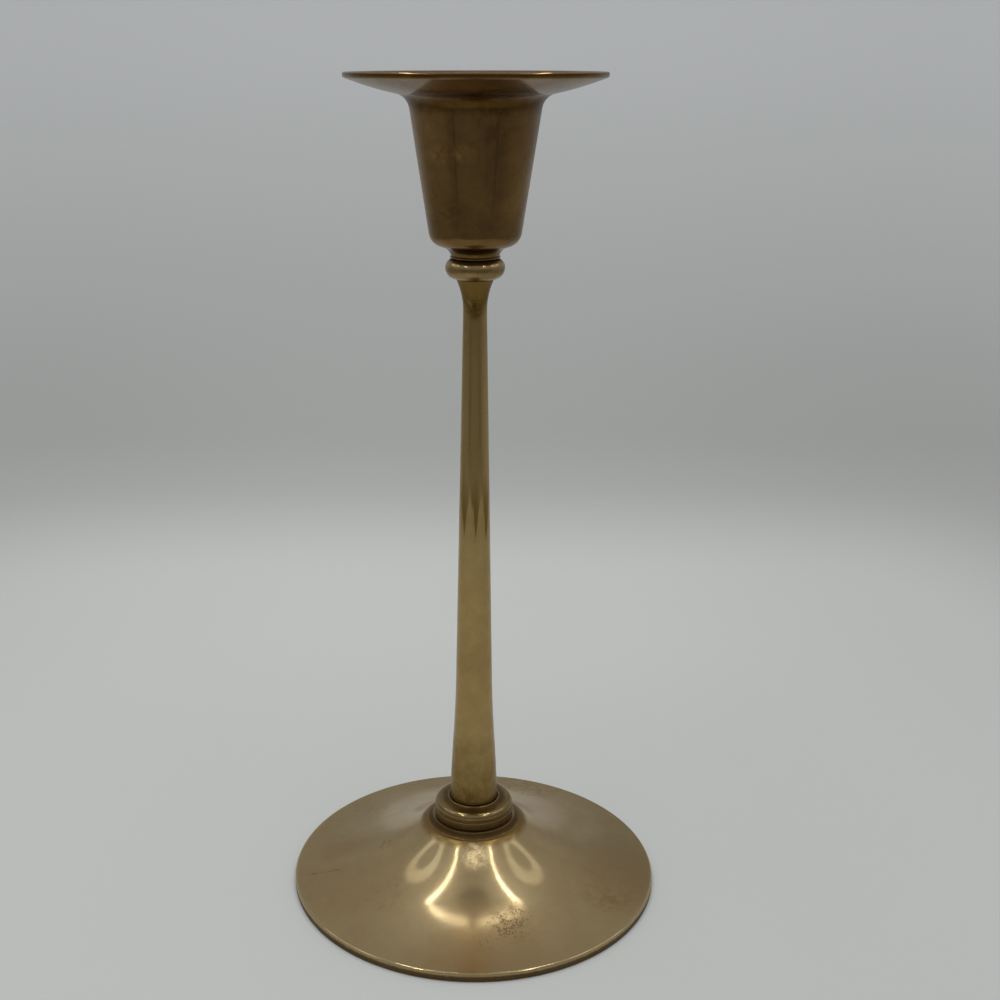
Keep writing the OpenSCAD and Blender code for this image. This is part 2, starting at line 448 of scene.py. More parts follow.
def new_object(name: str, data: bpy.types.ID) -> bpy.types.Object:
    """An object of the scene that shows the given data.

    Args:
        name: Name of the object.
        data: What it shows.

    Returns:
        The object, at the origin.
    """
    made = bpy.data.objects.new(name, data)
    bpy.context.scene.collection.objects.link(made)
    return made


def new_tree(name: str, inputs: dict[str, str]) -> tuple[Graph, list[Channel]]:
    """Starts a geometry tree.

    Args:
        name: Name of the tree.
        inputs: Kind of each input by its name.

    Returns:
        The tree's graph, and its inputs in their order.
    """
    tree = bpy.data.node_groups.new(name, "GeometryNodeTree")
    for label, kind in inputs.items():
        tree.interface.new_socket(label, in_out="INPUT", socket_type="NodeSocket" + kind)
    tree.interface.new_socket("Piece", in_out="OUTPUT", socket_type="NodeSocketGeometry")
    graph = Graph(tree)
    given = graph.add("NodeGroupInput").outputs
    return graph, [Channel(graph, given[i]) for i in range(len(inputs))]


def end_tree(graph: Graph, shape: Channel, finish: Channel) -> bpy.types.NodeTree:
    """Ends a geometry tree in a shape of real geometry that has its material.

    Args:
        graph: The tree's graph.
        shape: The shape.
        finish: The material.

    Returns:
        The tree.
    """
    shape = graph.node("GeometryNodeRealizeInstances", sockets={"Geometry": shape})
    shape = graph.node("GeometryNodeSetMaterial", sockets={"Geometry": shape, "Material": finish})
    graph.add("NodeGroupOutput", sockets={0: shape})
    return graph.tree


class Wear(Enum):
    """What has happened to the surface of a patch."""

    PITTED = "fine dark pits"
    RUBBED = "scuffed bright"
    STAINED = "brown film"
    DULLED = "evenly darker tarnish"


@dataclass(frozen=True)
class Patch:
    """A worn part of the surface: its middle and reach in metres, its strength, and how it is squeezed."""

    centre: Spot
    reach: float
    strength: float
    wear: Wear = Wear.PITTED
    stretch: Spot = (1.0, 1.0, 1.0)


@dataclass(frozen=True)
class Streaks:
    """Dark streaks along a piece, which end in points at the bottom and fade towards the top.

    Heights and bands of height are in metres.
    """

    low: float
    high: float
    count: float = 8.0
    shift: float = -0.22
    wander: float = 0.3
    taper: float = 1.8
    raggedness: float = 0.9
    edge: Band = (0.0, 0.2)
    start: Band = (-0.002, 0.001)
    stop: Band = (-0.006, 0.007)
    tail_lines: Band = (0.52, 0.66)
    tail_h: float = 0.03
    tail_share: float = 0.4
    thin_lines: Band = (0.3, 0.45)
    thin_start: float = -0.005
    thin_h: float = 0.06
    thin_share: float = 0.5

    LINES = Noise(900.0, seed=13.0)
    SQUEEZE = (1.0, 1.0, 0.06)

    def mask(self, graph: Graph, place: Channel, seed: float) -> Channel:
        """How dark the streaks are at a point, from 0 to 1.

        Args:
            graph: Graph of the finish.
            place: The point on the piece.
            seed: The finish's seed.

        Returns:
            How far the streaks cover the point.
        """
        high = self.high
        x, y, z = graph.split(place)
        turn = graph.maths("ARCTAN2", x, -1.0 * y) / math.tau
        lines = graph.noise(graph.scaled(place, self.SQUEEZE), self.LINES, seed)
        across = graph.maths("PINGPONG", turn * self.count + lines * self.wander + self.shift, 0.5)
        rise = z.ramp(self.low, high, how=Interpolation.STRAIGHT)
        deep = (rise - self.taper * across + (lines - 0.5) * self.raggedness).ramp(*self.edge)
        tail = lines.ramp(*self.tail_lines) * z.ramp(high, high + self.tail_h, self.tail_share, 0.0)
        fade = z.ramp(high + self.stop[0], high + self.stop[1], 1.0, 0.0) + tail
        begun = z.ramp(self.low + self.start[0], self.low + self.start[1])
        thin = (across.ramp(*self.thin_lines) * z.ramp(high + self.thin_start, high)
                * z.ramp(high, high + self.thin_h, self.thin_share, 0.0))
        return (deep * fade.share() * begun).most(thin)


@dataclass(frozen=True)
class Brass:
    """A turned and hand-polished brass surface that has tarnished.

    A band is the two values between which a pattern passes from none to full. A part is the share that one
    pattern has in a sum, and a cover is how far a layer hides what lies under it.
    """

    slot: Slot
    bright: Colour
    tarnish: Colour
    # Dark colour of pits and of soiling in joints, also used for the painted shade in grooves and recesses.
    grime: Colour = (0.07, 0.038, 0.012)
    film_tint: Colour = (0.53, 0.44, 0.24)
    tarnish_share: float = 0.5
    roughness: float = 0.2
    roughness_spread: float = 0.1
    haze: float = 0.5
    haze_roughness: float = 0.36
    cloud_size: float = 0.03
    marks_depth: float = 0.004
    patches: tuple[Patch, ...] = ()
    streaks: Streaks | None = None
    pit_share: float = 0.04
    seed: float = 0.0

    CLOUDS = Noise(1.0, 5.0, distortion=0.4)
    FILM = Noise(4.0, 4.0, 0.65, 1.2, 3.0)
    RAGGED = Noise(700.0, 4.0, 0.7, seed=5.0)
    FINE = Noise(260.0, 5.0, 0.7, 1.2, 9.0)
    MARKS = Noise(5200.0, seed=7.0)
    SMEARS = Noise(900.0, seed=8.0)
    PICKED = Noise(420.0, 2.0, seed=11.0)
    MARKS_SQUEEZE = 0.0006

    CLOUD_BAND, CLOUD_PART = (0.32, 0.7), 0.65
    FILM_BAND, FILM_PART = (0.35, 0.72), 0.35
    # Crevice layer: soiling in joints and painted shade in grooves and recesses.
    DIRT_BAND, DIRT_EVEN, DIRT_RAGGED, DIRT_COVER = (0.2, 0.75), 0.55, 0.9, 0.85
    SPOT_BAND, SPOT_PITS = (0.3, 0.65), 0.4
    STAIN_BAND, STAIN_EVEN, STAIN_CLOUDY, STAIN_COVER = (0.1, 0.85), 0.4, 0.6, 0.9
    STREAK_COVER = 0.85
    WORN_GAIN, WORN_COVER, WORN_CLEARS = 1.12, 0.8, 0.6
    SCUFF_BAND, SCUFF_EVEN, SCUFF_PARTS, SCUFF_GAIN = (0.4, 0.6), 0.2, (0.8, 0.5), 1.8
    PIT_SIZES = ((2300.0, 0.55, 0.12), (1200.0, 0.42, 0.1))
    PICKED_BAND, PIT_COVER = (0.4, 0.55), 0.8

    COVER_MIDDLE, SMEAR_SPREAD, SMOOTHEST, ROUGHEST = 0.4, 0.08, 0.04, 0.9
    ROUGHER = {"dirt": 0.3, "pits": 0.25, "scuffs": 0.2, "stained": 0.14, "worn": -0.03}
    HIGHER = {"marks": 0.5, "grit": 1.5, "pits": -1.0, "film": 0.8, "scratches": 0.4}
    LESS_METAL = {"dirt": 0.15, "scuffs": 0.6}
    SPECULAR = 0.25
    PATCH_CORE = 0.15

    def material(self) -> bpy.types.Material:
        """The finish as a material.

        Returns:
            The material, which has the slot's name.
        """
        material, graph = new_material(self.slot.value)
        place = graph.place()
        x, y, _ = graph.split(place)
        along, grime, worn, filmed = (graph.attribute(name) for name in POINT_VALUES)
        pitted, rubbed, spoilt, dulled = (self._near(graph, place, wear) for wear in Wear)
        finer = 1 / self.cloud_size
        clouds, film = (graph.noise(place, kind, self.seed, finer) for kind in (self.CLOUDS, self.FILM))
        ragged, fine = (graph.noise(place, kind, self.seed) for kind in (self.RAGGED, self.FINE))
        turned = graph.joined(along, graph.maths("ARCTAN2", y, x) * self.MARKS_SQUEEZE)
        marks, smears = (graph.noise(turned, kind, self.seed) for kind in (self.MARKS, self.SMEARS))

        cloudy = clouds.ramp(*self.CLOUD_BAND) * self.CLOUD_PART + film.ramp(*self.FILM_BAND) * self.FILM_PART
        cover = (cloudy * (2 * self.tarnish_share) + dulled).share()
        # Darkens joints, grooves and recesses: partly soiling, partly painted shade.
        dirt = (grime * (self.DIRT_EVEN + self.DIRT_RAGGED * ragged)).ramp(*self.DIRT_BAND)
        pits = self._pits(graph, place, ragged, pitted)
        spots = (spoilt + self.SPOT_PITS * pitted) * fine.ramp(*self.SPOT_BAND)
        blotch = filmed * (self.STAIN_EVEN + self.STAIN_CLOUDY * film + self.STAIN_CLOUDY * fine) + spots
        stained = blotch.ramp(*self.STAIN_BAND)
        uneven = sum(n.ramp(*self.SCUFF_BAND) * part for n, part in zip((fine, ragged), self.SCUFF_PARTS))
        scuffs = (rubbed * (self.SCUFF_EVEN + uneven)).share()

        brown = tuple(share * c for share, c in zip(self.film_tint, self.tarnish))
        # The crevice layer paints soiling and shade into joints, grooves and recesses.
        layers = [(stained * self.STAIN_COVER, brown), (dirt * self.DIRT_COVER, self.grime),
                  (worn * self.WORN_COVER * (1 - dirt), self._lighter(self.WORN_GAIN)),
                  (scuffs, self._lighter(self.SCUFF_GAIN)), (pits * self.PIT_COVER, self.grime)]
        if self.streaks:
            layers.insert(1, (self.streaks.mask(graph, place, self.seed) * self.STREAK_COVER, brown))
        colour = graph.blend(cover, self.bright, self.tarnish)
        for share, layer in layers:
            colour = graph.blend(share.share(), colour, layer)

        acts = {"dirt": dirt, "pits": pits, "scuffs": scuffs, "stained": stained, "worn": worn,
                "marks": marks, "film": film, "grit": ragged * dirt, "scratches": ragged * scuffs}
        rougher, relief, less_metal = (sum(acts[name] * share for name, share in table.items())
                                       for table in (self.ROUGHER, self.HIGHER, self.LESS_METAL))
        rough = (self.roughness + (cover - self.COVER_MIDDLE) * self.roughness_spread
                 + (smears - 0.5) * self.SMEAR_SPREAD + rougher)
        sockets = {"Base Color": colour, "Metallic": 1.0 - less_metal, "Specular IOR Level": self.SPECULAR,
                   "Normal": graph.bump(relief, self.marks_depth * MM)}
        lobes = []
        for more in (0.0, self.haze_roughness - self.roughness):
            sockets["Roughness"] = (rough + more).most(self.SMOOTHEST).least(self.ROUGHEST)
            lobes.append(graph.node("ShaderNodeBsdfPrincipled", sockets=sockets))
        haze = (1 - worn * self.WORN_CLEARS) * self.haze
        graph.finish(graph.node("ShaderNodeMixShader", sockets={0: haze, 1: lobes[0], 2: lobes[1]}))
        return material

    def _lighter(self, gain: float) -> Colour:
        """The bright colour times a gain."""
        return tuple(min(1.0, gain * c) for c in self.bright)

    def _near(self, graph: Graph, place: Channel, wear: Wear) -> Channel:
        """How strongly the patches of one kind of wear act at a point.

        Args:
            graph: Graph of the finish.
            place: The point on the piece.
            wear: The kind of wear.

        Returns:
            The strongest patch's share at the point.
        """
        amount: Channel = graph.node("ShaderNodeValue")
        amount.socket.default_value = 0.0
        for patch in self.patches:
            if patch.wear is wear:
                centre = tuple(c * s for c, s in zip(patch.centre, patch.stretch))
                way = graph.distance(graph.scaled(place, patch.stretch), centre)
                core = self.PATCH_CORE * patch.reach
                amount = amount.most(way.ramp(core, patch.reach, patch.strength, 0.0))
        return amount

    def _pits(self, graph: Graph, place: Channel, ragged: Channel, pitted: Channel) -> Channel:
        """Fine dark pits, close together in the pitted patches and rare elsewhere.

        Args:
            graph: Graph of the finish.
            place: The point on the piece.
            ragged: Noise that spreads the rare pits.
            pitted: How strongly the pitted patches act.

        Returns:
            How far a pit covers the point, from 0 to 1.
        """
        amount = pitted + self.pit_share * ragged
        picked = graph.noise(place, self.PICKED, self.seed)
        holes = sum((size * amount - graph.specks(place, scale)).ramp(0.0, rim)
                    for scale, size, rim in self.PIT_SIZES)
        return (holes * picked.ramp(*self.PICKED_BAND)).share()


@dataclass(frozen=True)
class Waves:
    """How far a surface strays from true, the length of its waves, both in metres, and their seed."""

    height: float = 0.0
    length: float = 0.02
    seed: float = 0.0


class Lathe:
    """Turns outlines into pieces with one geometry tree."""

    STEPS = 256
    SEAM = 1e-6

    def __init__(self) -> None:
        """Builds the tree."""
        self.tree = self._tree()

    def _tree(self) -> bpy.types.NodeTree:
        """The tree that carries an outline's points round the axis.

        Returns:
            The tree, with named inputs.
        """
        inputs = {"Outline": "Geometry", "Steps round": "Int", "Waviness": "Float", "Wave size": "Float",
                  "Seed": "Float", "Finish": "Material"}
        graph, (outline, steps, wave, wave_size, seed, finish) = new_tree("turned_piece", inputs)
        settings = {"component": "MESH"}
        count = graph.node("GeometryNodeAttributeDomainSize", settings, {0: outline}, "Point Count")
        rows = steps + 1.0
        sockets = {"Vertices X": count, "Vertices Y": rows}
        grid = graph.node("GeometryNodeMeshGrid", sockets=sockets, output="Mesh")
        index = graph.node("GeometryNodeInputIndex")
        column = graph.maths("FLOOR", (index + 0.5) / rows)
        turn = (index - column * rows) / steps * math.tau

        def read(kind: str, value: Channel) -> Channel:
            """The value at the outline's point that this point comes from."""
            sockets = {"Geometry": outline, "Value": value, "Index": column}
            return graph.node("GeometryNodeSampleIndex", {"data_type": kind, "domain": "POINT"}, sockets)

        position = graph.node("GeometryNodeInputPosition")
        radius, _, height = graph.split(read("FLOAT_VECTOR", position))
        across, deep = (radius * graph.maths(side, turn) for side in ("COSINE", "SINE"))
        around = graph.joined(across, deep, height)
        shape = graph.node("GeometryNodeSetPosition", sockets={"Geometry": grid, "Position": around})
        for name in POINT_VALUES:
            settings = {"data_type": "FLOAT"}
            held = graph.node("GeometryNodeInputNamedAttribute", settings, {"Name": name}, "Attribute")
            sockets = {"Geometry": shape, "Name": name, "Value": read("FLOAT", held)}
            shape = graph.node("GeometryNodeStoreNamedAttribute", settings | {"domain": "POINT"}, sockets)
        shape = graph.node("GeometryNodeMergeByDistance", sockets={"Geometry": shape, "Distance": self.SEAM})
        sockets = {"Vector": position, "W": seed, "Scale": 1 / wave_size, "Detail": 1.0}
        noise = graph.node("ShaderNodeTexNoise", {"noise_dimensions": "4D"}, sockets, "Fac")
        sockets = {0: graph.node("GeometryNodeInputNormal"), "Scale": (noise - 0.5) * wave}
        out = graph.node("ShaderNodeVectorMath", {"operation": "SCALE"}, sockets)
        shape = graph.node("GeometryNodeSetPosition", sockets={"Geometry": shape, "Offset": out})
        shape = graph.node("GeometryNodeSetShadeSmooth", sockets={"Geometry": shape})
        return end_tree(graph, shape, finish)

    def turn(self, name: str, outline: "Outline", finish: bpy.types.Material, steps: int = STEPS,
             waves: Waves = Waves()) -> bpy.types.Object:
        """Turns a piece.

        Args:
            name: Name of the piece.
            outline: Its outline.
            finish: Its material.
            steps: How many steps go round the axis.
            waves: How far its surface strays from true.

        Returns:
            The piece as a plain mesh.
        """
        values = {"Steps round": steps, "Waviness": waves.height, "Wave size": waves.length,
                  "Seed": waves.seed, "Finish": finish}
        return realized(name, outline.mesh(name), self.tree, values)


def realized(name: str, mesh: bpy.types.Mesh, tree: bpy.types.NodeTree, values: dict) -> bpy.types.Object:
    """Runs a geometry tree on a mesh and keeps the result as a plain mesh.

    Args:
        name: Name of the piece.
        mesh: What the tree starts from.
        tree: The tree.
        values: Its inputs by name.

    Returns:
        An object at the origin that holds the result.
    """
    piece = new_object(name, mesh)
    modifier = piece.modifiers.new("shape", "NODES")
    modifier.node_group = tree
    for item in tree.interface.items_tree:
        if item.in_out == "INPUT" and item.name in values:
            modifier[item.identifier] = values[item.name]
    graph = bpy.context.evaluated_depsgraph_get()
    shown = piece.evaluated_get(graph)
    made = bpy.data.meshes.new_from_object(shown, preserve_all_data_layers=True, depsgraph=graph)
    piece.modifiers.remove(modifier)
    piece.data = made
    made.name = name
    work = bmesh.new()
    work.from_mesh(made)
    if work.calc_volume(signed=True) < 0:
        bmesh.ops.reverse_faces(work, faces=work.faces)
    work.to_mesh(made)
    work.free()
    return piece


@dataclass
class Outline:
    """What a piece is turned to, in millimetres.

    Each of the last three lists names the places where soiling with painted shade, wear or brown film is
    strongest, and how far it reaches from each.
    """

    points: list[Point]
    closed: bool = False
    ease: float = 0.2
    longest: float = 1.5
    grime_at: Places = field(default_factory=list)
    worn_at: Places = field(default_factory=list)
    film_at: Places = field(default_factory=list)

    def mesh(self, name: str) -> bpy.types.Mesh:
        """The outline as a line of edges that holds each point's way along it, soiling and painted shade,
        wear and brown film.

        Args:
            name: Name of the piece.

        Returns:
            The line, in metres.
        """
        points = spaced(eased(self.points, self.ease, self.closed), self.longest, self.closed)
        mesh = bpy.data.meshes.new(name + "_outline")
        edges = [(i, i + 1) for i in range(len(points) - 1)]
        mesh.from_pydata([(r * MM, 0.0, z * MM) for r, z in points], edges, [])
        steps = [0.0] + [math.dist(a, b) * MM for a, b in zip(points, points[1:])]
        along = [sum(steps[:i + 1]) for i in range(len(steps))]
        wear = (self._near(points, places) for places in (self.grime_at, self.worn_at, self.film_at))
        for label, values in zip(POINT_VALUES, (along, *wear)):
            mesh.attributes.new(label, "FLOAT", "POINT").data.foreach_set("value", values)
        return mesh

    @staticmethod
    def _near(points: list[Point], places: Places) -> list[float]:
        """How near each point is to any of some places, from 0 at a place's reach to 1 at the place.

        Args:
            points: The outline's points.
            places: The places, each with its reach.

        Returns:
            One value for each point.
        """
        def share(point: Point) -> float:
            """The nearest place's share at one point."""
            return max((1 - math.dist(point, place) / reach for place, reach in places), default=0.0)
        return [max(0.0, share(p)) for p in points]


def hold(piece: bpy.types.Object, slot: Slot, *nodes: str) -> None:
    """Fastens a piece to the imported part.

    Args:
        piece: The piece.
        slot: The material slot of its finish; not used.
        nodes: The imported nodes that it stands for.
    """
    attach(piece, "root")
    if nodes:
        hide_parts(*nodes)
    LOG.info("%s: %d faces", piece.name, len(piece.data.polygons))


def seat(node: str) -> tuple[float, float, float]:
    """Radius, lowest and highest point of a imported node, in millimetres."""
    low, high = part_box(node)
    return high.x / MM, low.z / MM, high.z / MM


@dataclass
class Foot:
    """The dished foot with its beaded collar, in millimetres and degrees."""

    edge_h: float = 2.9
    edge_round: float = 0.7
    slope: float = 4.5
    bell_slope: float = 22.5
    shoulder_slope: float = 42.5
    shoulder_r: float = 15.65
    shoulder_round: float = 6.0
    crease_slope: float = 21.0
    lip_w: float = 0.8
    wall: float = 2.6
    rest_w: float = 5.5
    boss_r: float = 9.5
    boss_h: float = 11.6
    boss_fillet_r: float = 1.4
    tenon_hole_r: float = 4.2
    band_h: float = 2.65
    bead_r: float = 1.8
    bead_turn: float = 48.0
    groove_d: float = 0.13
    collar_lip_round: float = 0.3
    recess_gap: float = 0.2
    recess_d: float = 0.5
    edge_break: float = 0.3
    steps: int = 320
    waves: Waves = Waves(0.00003, 0.016, 1.0)
    collar_waves: Waves = Waves(0.00004, 0.006, 2.0)

    WEAR = (
        Patch((0.0115, -0.0400, 0.0065), 0.016, 0.9),
        Patch((0.003, -0.047, 0.005), 0.014, 0.65),
        Patch((0.024, -0.032, 0.007), 0.010, 0.4),
        Patch((0.045, -0.028, 0.004), 0.016, 0.3),
        Patch((0.0004, -0.0197, 0.0175), 0.0058, 0.85, Wear.RUBBED, (1.0, 1.0, 0.8)),
        Patch((0.0420, -0.0225, 0.005), 0.020, 0.36, Wear.STAINED, (1.0, 1.5, 1.0)),
        Patch((0.0480, -0.0120, 0.004), 0.030, 0.3, Wear.STAINED, (1.0, 1.4, 1.0)),
        Patch((0.0200, 0.0480, 0.004), 0.024, 0.45, Wear.STAINED, (1.0, 1.3, 1.0)),
        Patch((-0.0380, 0.0300, 0.006), 0.018, 0.6),
        Patch((-0.0270, -0.0260, 0.008), 0.020, 0.32, Wear.STAINED),
        Patch((0.0020, -0.0540, 0.003), 0.030, 0.9, Wear.DULLED, (1.1, 1.0, 1.0)),
        Patch((0.0500, -0.0120, 0.003), 0.028, 0.8, Wear.DULLED),
        Patch((0.0200, 0.0200, 0.010), 0.024, 0.9, Wear.DULLED),
        Patch((-0.0400, 0.0050, 0.005), 0.016, 0.5, Wear.DULLED, (1.0, 1.8, 1.0)),
        Patch((-0.0500, -0.0078, 0.0040), 0.012, 0.75, Wear.STAINED, (1.0, 14.0, 1.0)),
        Patch((-0.0300, -0.0015, 0.0120), 0.006, 0.5, Wear.STAINED))
    FINISH = Brass(Slot.FOOT, bright=(0.49, 0.37, 0.195), tarnish=(0.42, 0.29, 0.142), roughness=0.105,
                   patches=WEAR, cloud_size=0.04, seed=1.0)
    COLLAR_FINISH = Brass(Slot.COLLAR, bright=(0.29, 0.205, 0.09), tarnish=(0.20, 0.132, 0.052),
                          roughness=0.13, cloud_size=0.012, seed=2.0)

    def __post_init__(self) -> None:
        """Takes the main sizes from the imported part."""
        self.radius, _, self.height = seat("foot")
        self.collar_r, _, self.collar_top = seat("foot_collar")

    def crease(self) -> Vector:
        """Radius and height of the crease between the cove and the shoulder."""
        return Vector((self.shoulder_r, self.height - (self.shoulder_r - self.collar_r - self.lip_w)))

    def shoulder(self) -> list[Point]:
        """The shoulder's rounding, from the bell up to the crease.

        Returns:
            The points of the rounding.
        """
        slope = self.crease_slope
        centre = self.crease() - self.shoulder_round * Vector((sin(slope), cos(slope)))
        return arc(tuple(centre), self.shoulder_round, 90 - self.shoulder_slope, 90 - slope)

    def flare(self, depth: float, start_r: float) -> list[Point]:
        """The brim's and the bell's curves, up to the shoulder.

        Args:
            depth: How far the curves lie inside the shell.
            start_r: Radius at which they start.

        Returns:
            The points from the brim inwards.
        """
        shoulder = Vector(self.shoulder()[0])
        brim = Vector((sin(self.bell_slope) - sin(self.slope), cos(self.slope) - cos(self.bell_slope)))
        bell = Vector((sin(self.shoulder_slope) - sin(self.bell_slope),
                       cos(self.bell_slope) - cos(self.shoulder_slope)))
        edge = Vector((self.radius - self.edge_round * (1 - sin(self.slope)), self.edge_h))
        way = Vector((edge.x - shoulder.x, shoulder.y - edge.y))
        share = bell.cross(brim)
        bell_r, brim_r = way.cross(brim) / share, bell.cross(way) / share
        bell_centre = shoulder + bell_r * Vector((sin(self.shoulder_slope), cos(self.shoulder_slope)))
        brim_centre = bell_centre + (brim_r - bell_r) * Vector((sin(self.bell_slope), cos(self.bell_slope)))
        start = 270 - math.degrees(math.asin((brim_centre.x - start_r) / (brim_r + depth)))
        middle, end = 270 - self.bell_slope, 270 - self.shoulder_slope
        return [*arc(tuple(brim_centre), brim_r + depth, start, middle, step=0.6),
                *arc(tuple(bell_centre), bell_r + depth, middle, end, step=0.75)]

    def outline(self) -> Outline:
        """The foot's outline, from the outer edge over the top and back along the hollow underside.

        Returns:
            The outline with its places of soiling and painted shade, wear and brown film.
        """
        crease = self.crease()
        lip_r = self.collar_r + self.lip_w
        rest_r = self.radius - self.rest_w
        edge = (self.radius - self.edge_round, self.edge_h - self.edge_round * cos(self.slope))
        inside = self.flare(self.wall, rest_r)
        ceiling = inside[-1][1]
        boss_z = self.height - self.boss_h
        fillet = self.boss_fillet_r
        points = [
            (rest_r, 0.0), (self.radius - self.edge_break, 0.0), (self.radius, self.edge_break),
            *arc(edge, self.edge_round, 0, 90 - self.slope, step=8),
            *self.flare(0.0, self.radius - self.edge_round * (1 - sin(self.slope))),
            *self.shoulder(),
            *arc((crease.x, self.height), crease.x - lip_r, 270, 180),
            (self.tenon_hole_r, self.height), (self.tenon_hole_r, boss_z),
            (self.boss_r - self.edge_break, boss_z), (self.boss_r, boss_z + self.edge_break),
            *arc((self.boss_r + fillet, ceiling - fillet), fillet, 180, 90, step=8),
            *reversed(inside)]
        return Outline(
            points, closed=True,
            grime_at=[((lip_r + 0.6, self.height - 1.0), 2.0), ((self.boss_r, ceiling), 4.0),
                      ((rest_r, 0.0), 1.5), ((self.radius + 0.2, 1.0), 2.1)],
            worn_at=[((self.radius - 0.3, self.edge_h - 0.2), 1.4)],
            film_at=[((lip_r + 1.0, self.height - 0.8), 3.4), ((crease.x + 0.4, crease.y), 3.4)])

    def collar_outline(self) -> Outline:
        """The collar's outline.

        Returns:
            The outline with its places of soiling and painted shade, wear and brown film.
        """
        band_z = self.height + self.band_h
        recess_r = Stem.base_r + self.recess_gap
        stem_z = self.collar_top - self.recess_d
        bead = (self.collar_r - self.bead_r, band_z + self.bead_r * sin(self.bead_turn))
        swell = 2 * math.degrees(math.atan(self.groove_d / (bead[1] - band_z)))
        swell_r = (bead[1] - band_z) / sin(swell)
        lip = self.collar_lip_round
        dish = (bead[0] - recess_r - 2 * lip, self.collar_top - lip - bead[1] - self.bead_r)
        dish_turn = 2 * math.degrees(math.atan(dish[1] / dish[0]))
        dish_r = dish[0] / sin(dish_turn)
        points = [
            (self.tenon_hole_r, self.height), (self.collar_r - self.edge_break, self.height),
            (self.collar_r, self.height + self.edge_break), (self.collar_r, band_z - self.groove_d),
            *arc((self.collar_r - swell_r, bead[1]), swell_r, -swell, 0),
            *arc(bead, self.bead_r, 0, 90),
            *arc((bead[0], bead[1] + self.bead_r + dish_r), dish_r, 270, 270 - dish_turn),
            *arc((recess_r + lip, self.collar_top - lip), lip, 0, 180, step=15),
            (recess_r, stem_z), (self.tenon_hole_r, stem_z)]
        return Outline(
            points, closed=True, ease=0.12,
            grime_at=[((self.collar_r, self.height), 0.9), ((self.collar_r - 0.3, band_z), 0.3),
                      ((recess_r, stem_z), 0.8)],
            worn_at=[((bead[0] + self.bead_r * 0.5, bead[1] + self.bead_r * 0.87), 1.0),
                     ((recess_r + lip, self.collar_top), 0.6)],
            film_at=[((self.collar_r, self.height), 3.4), ((recess_r + 1, self.collar_top - 0.6), 2.6)])

    def build(self, lathe: Lathe) -> None:
        """Turns the foot and its collar.

        Args:
            lathe: What turns them.
        """
        finish = self.FINISH.material()
        hold(lathe.turn("foot_shell", self.outline(), finish, self.steps, self.waves), Slot.FOOT, "foot")
        finish = self.COLLAR_FINISH.material()
        collar = lathe.turn("collar_ring", self.collar_outline(), finish, waves=self.collar_waves)
        hold(collar, Slot.COLLAR, "foot_collar")


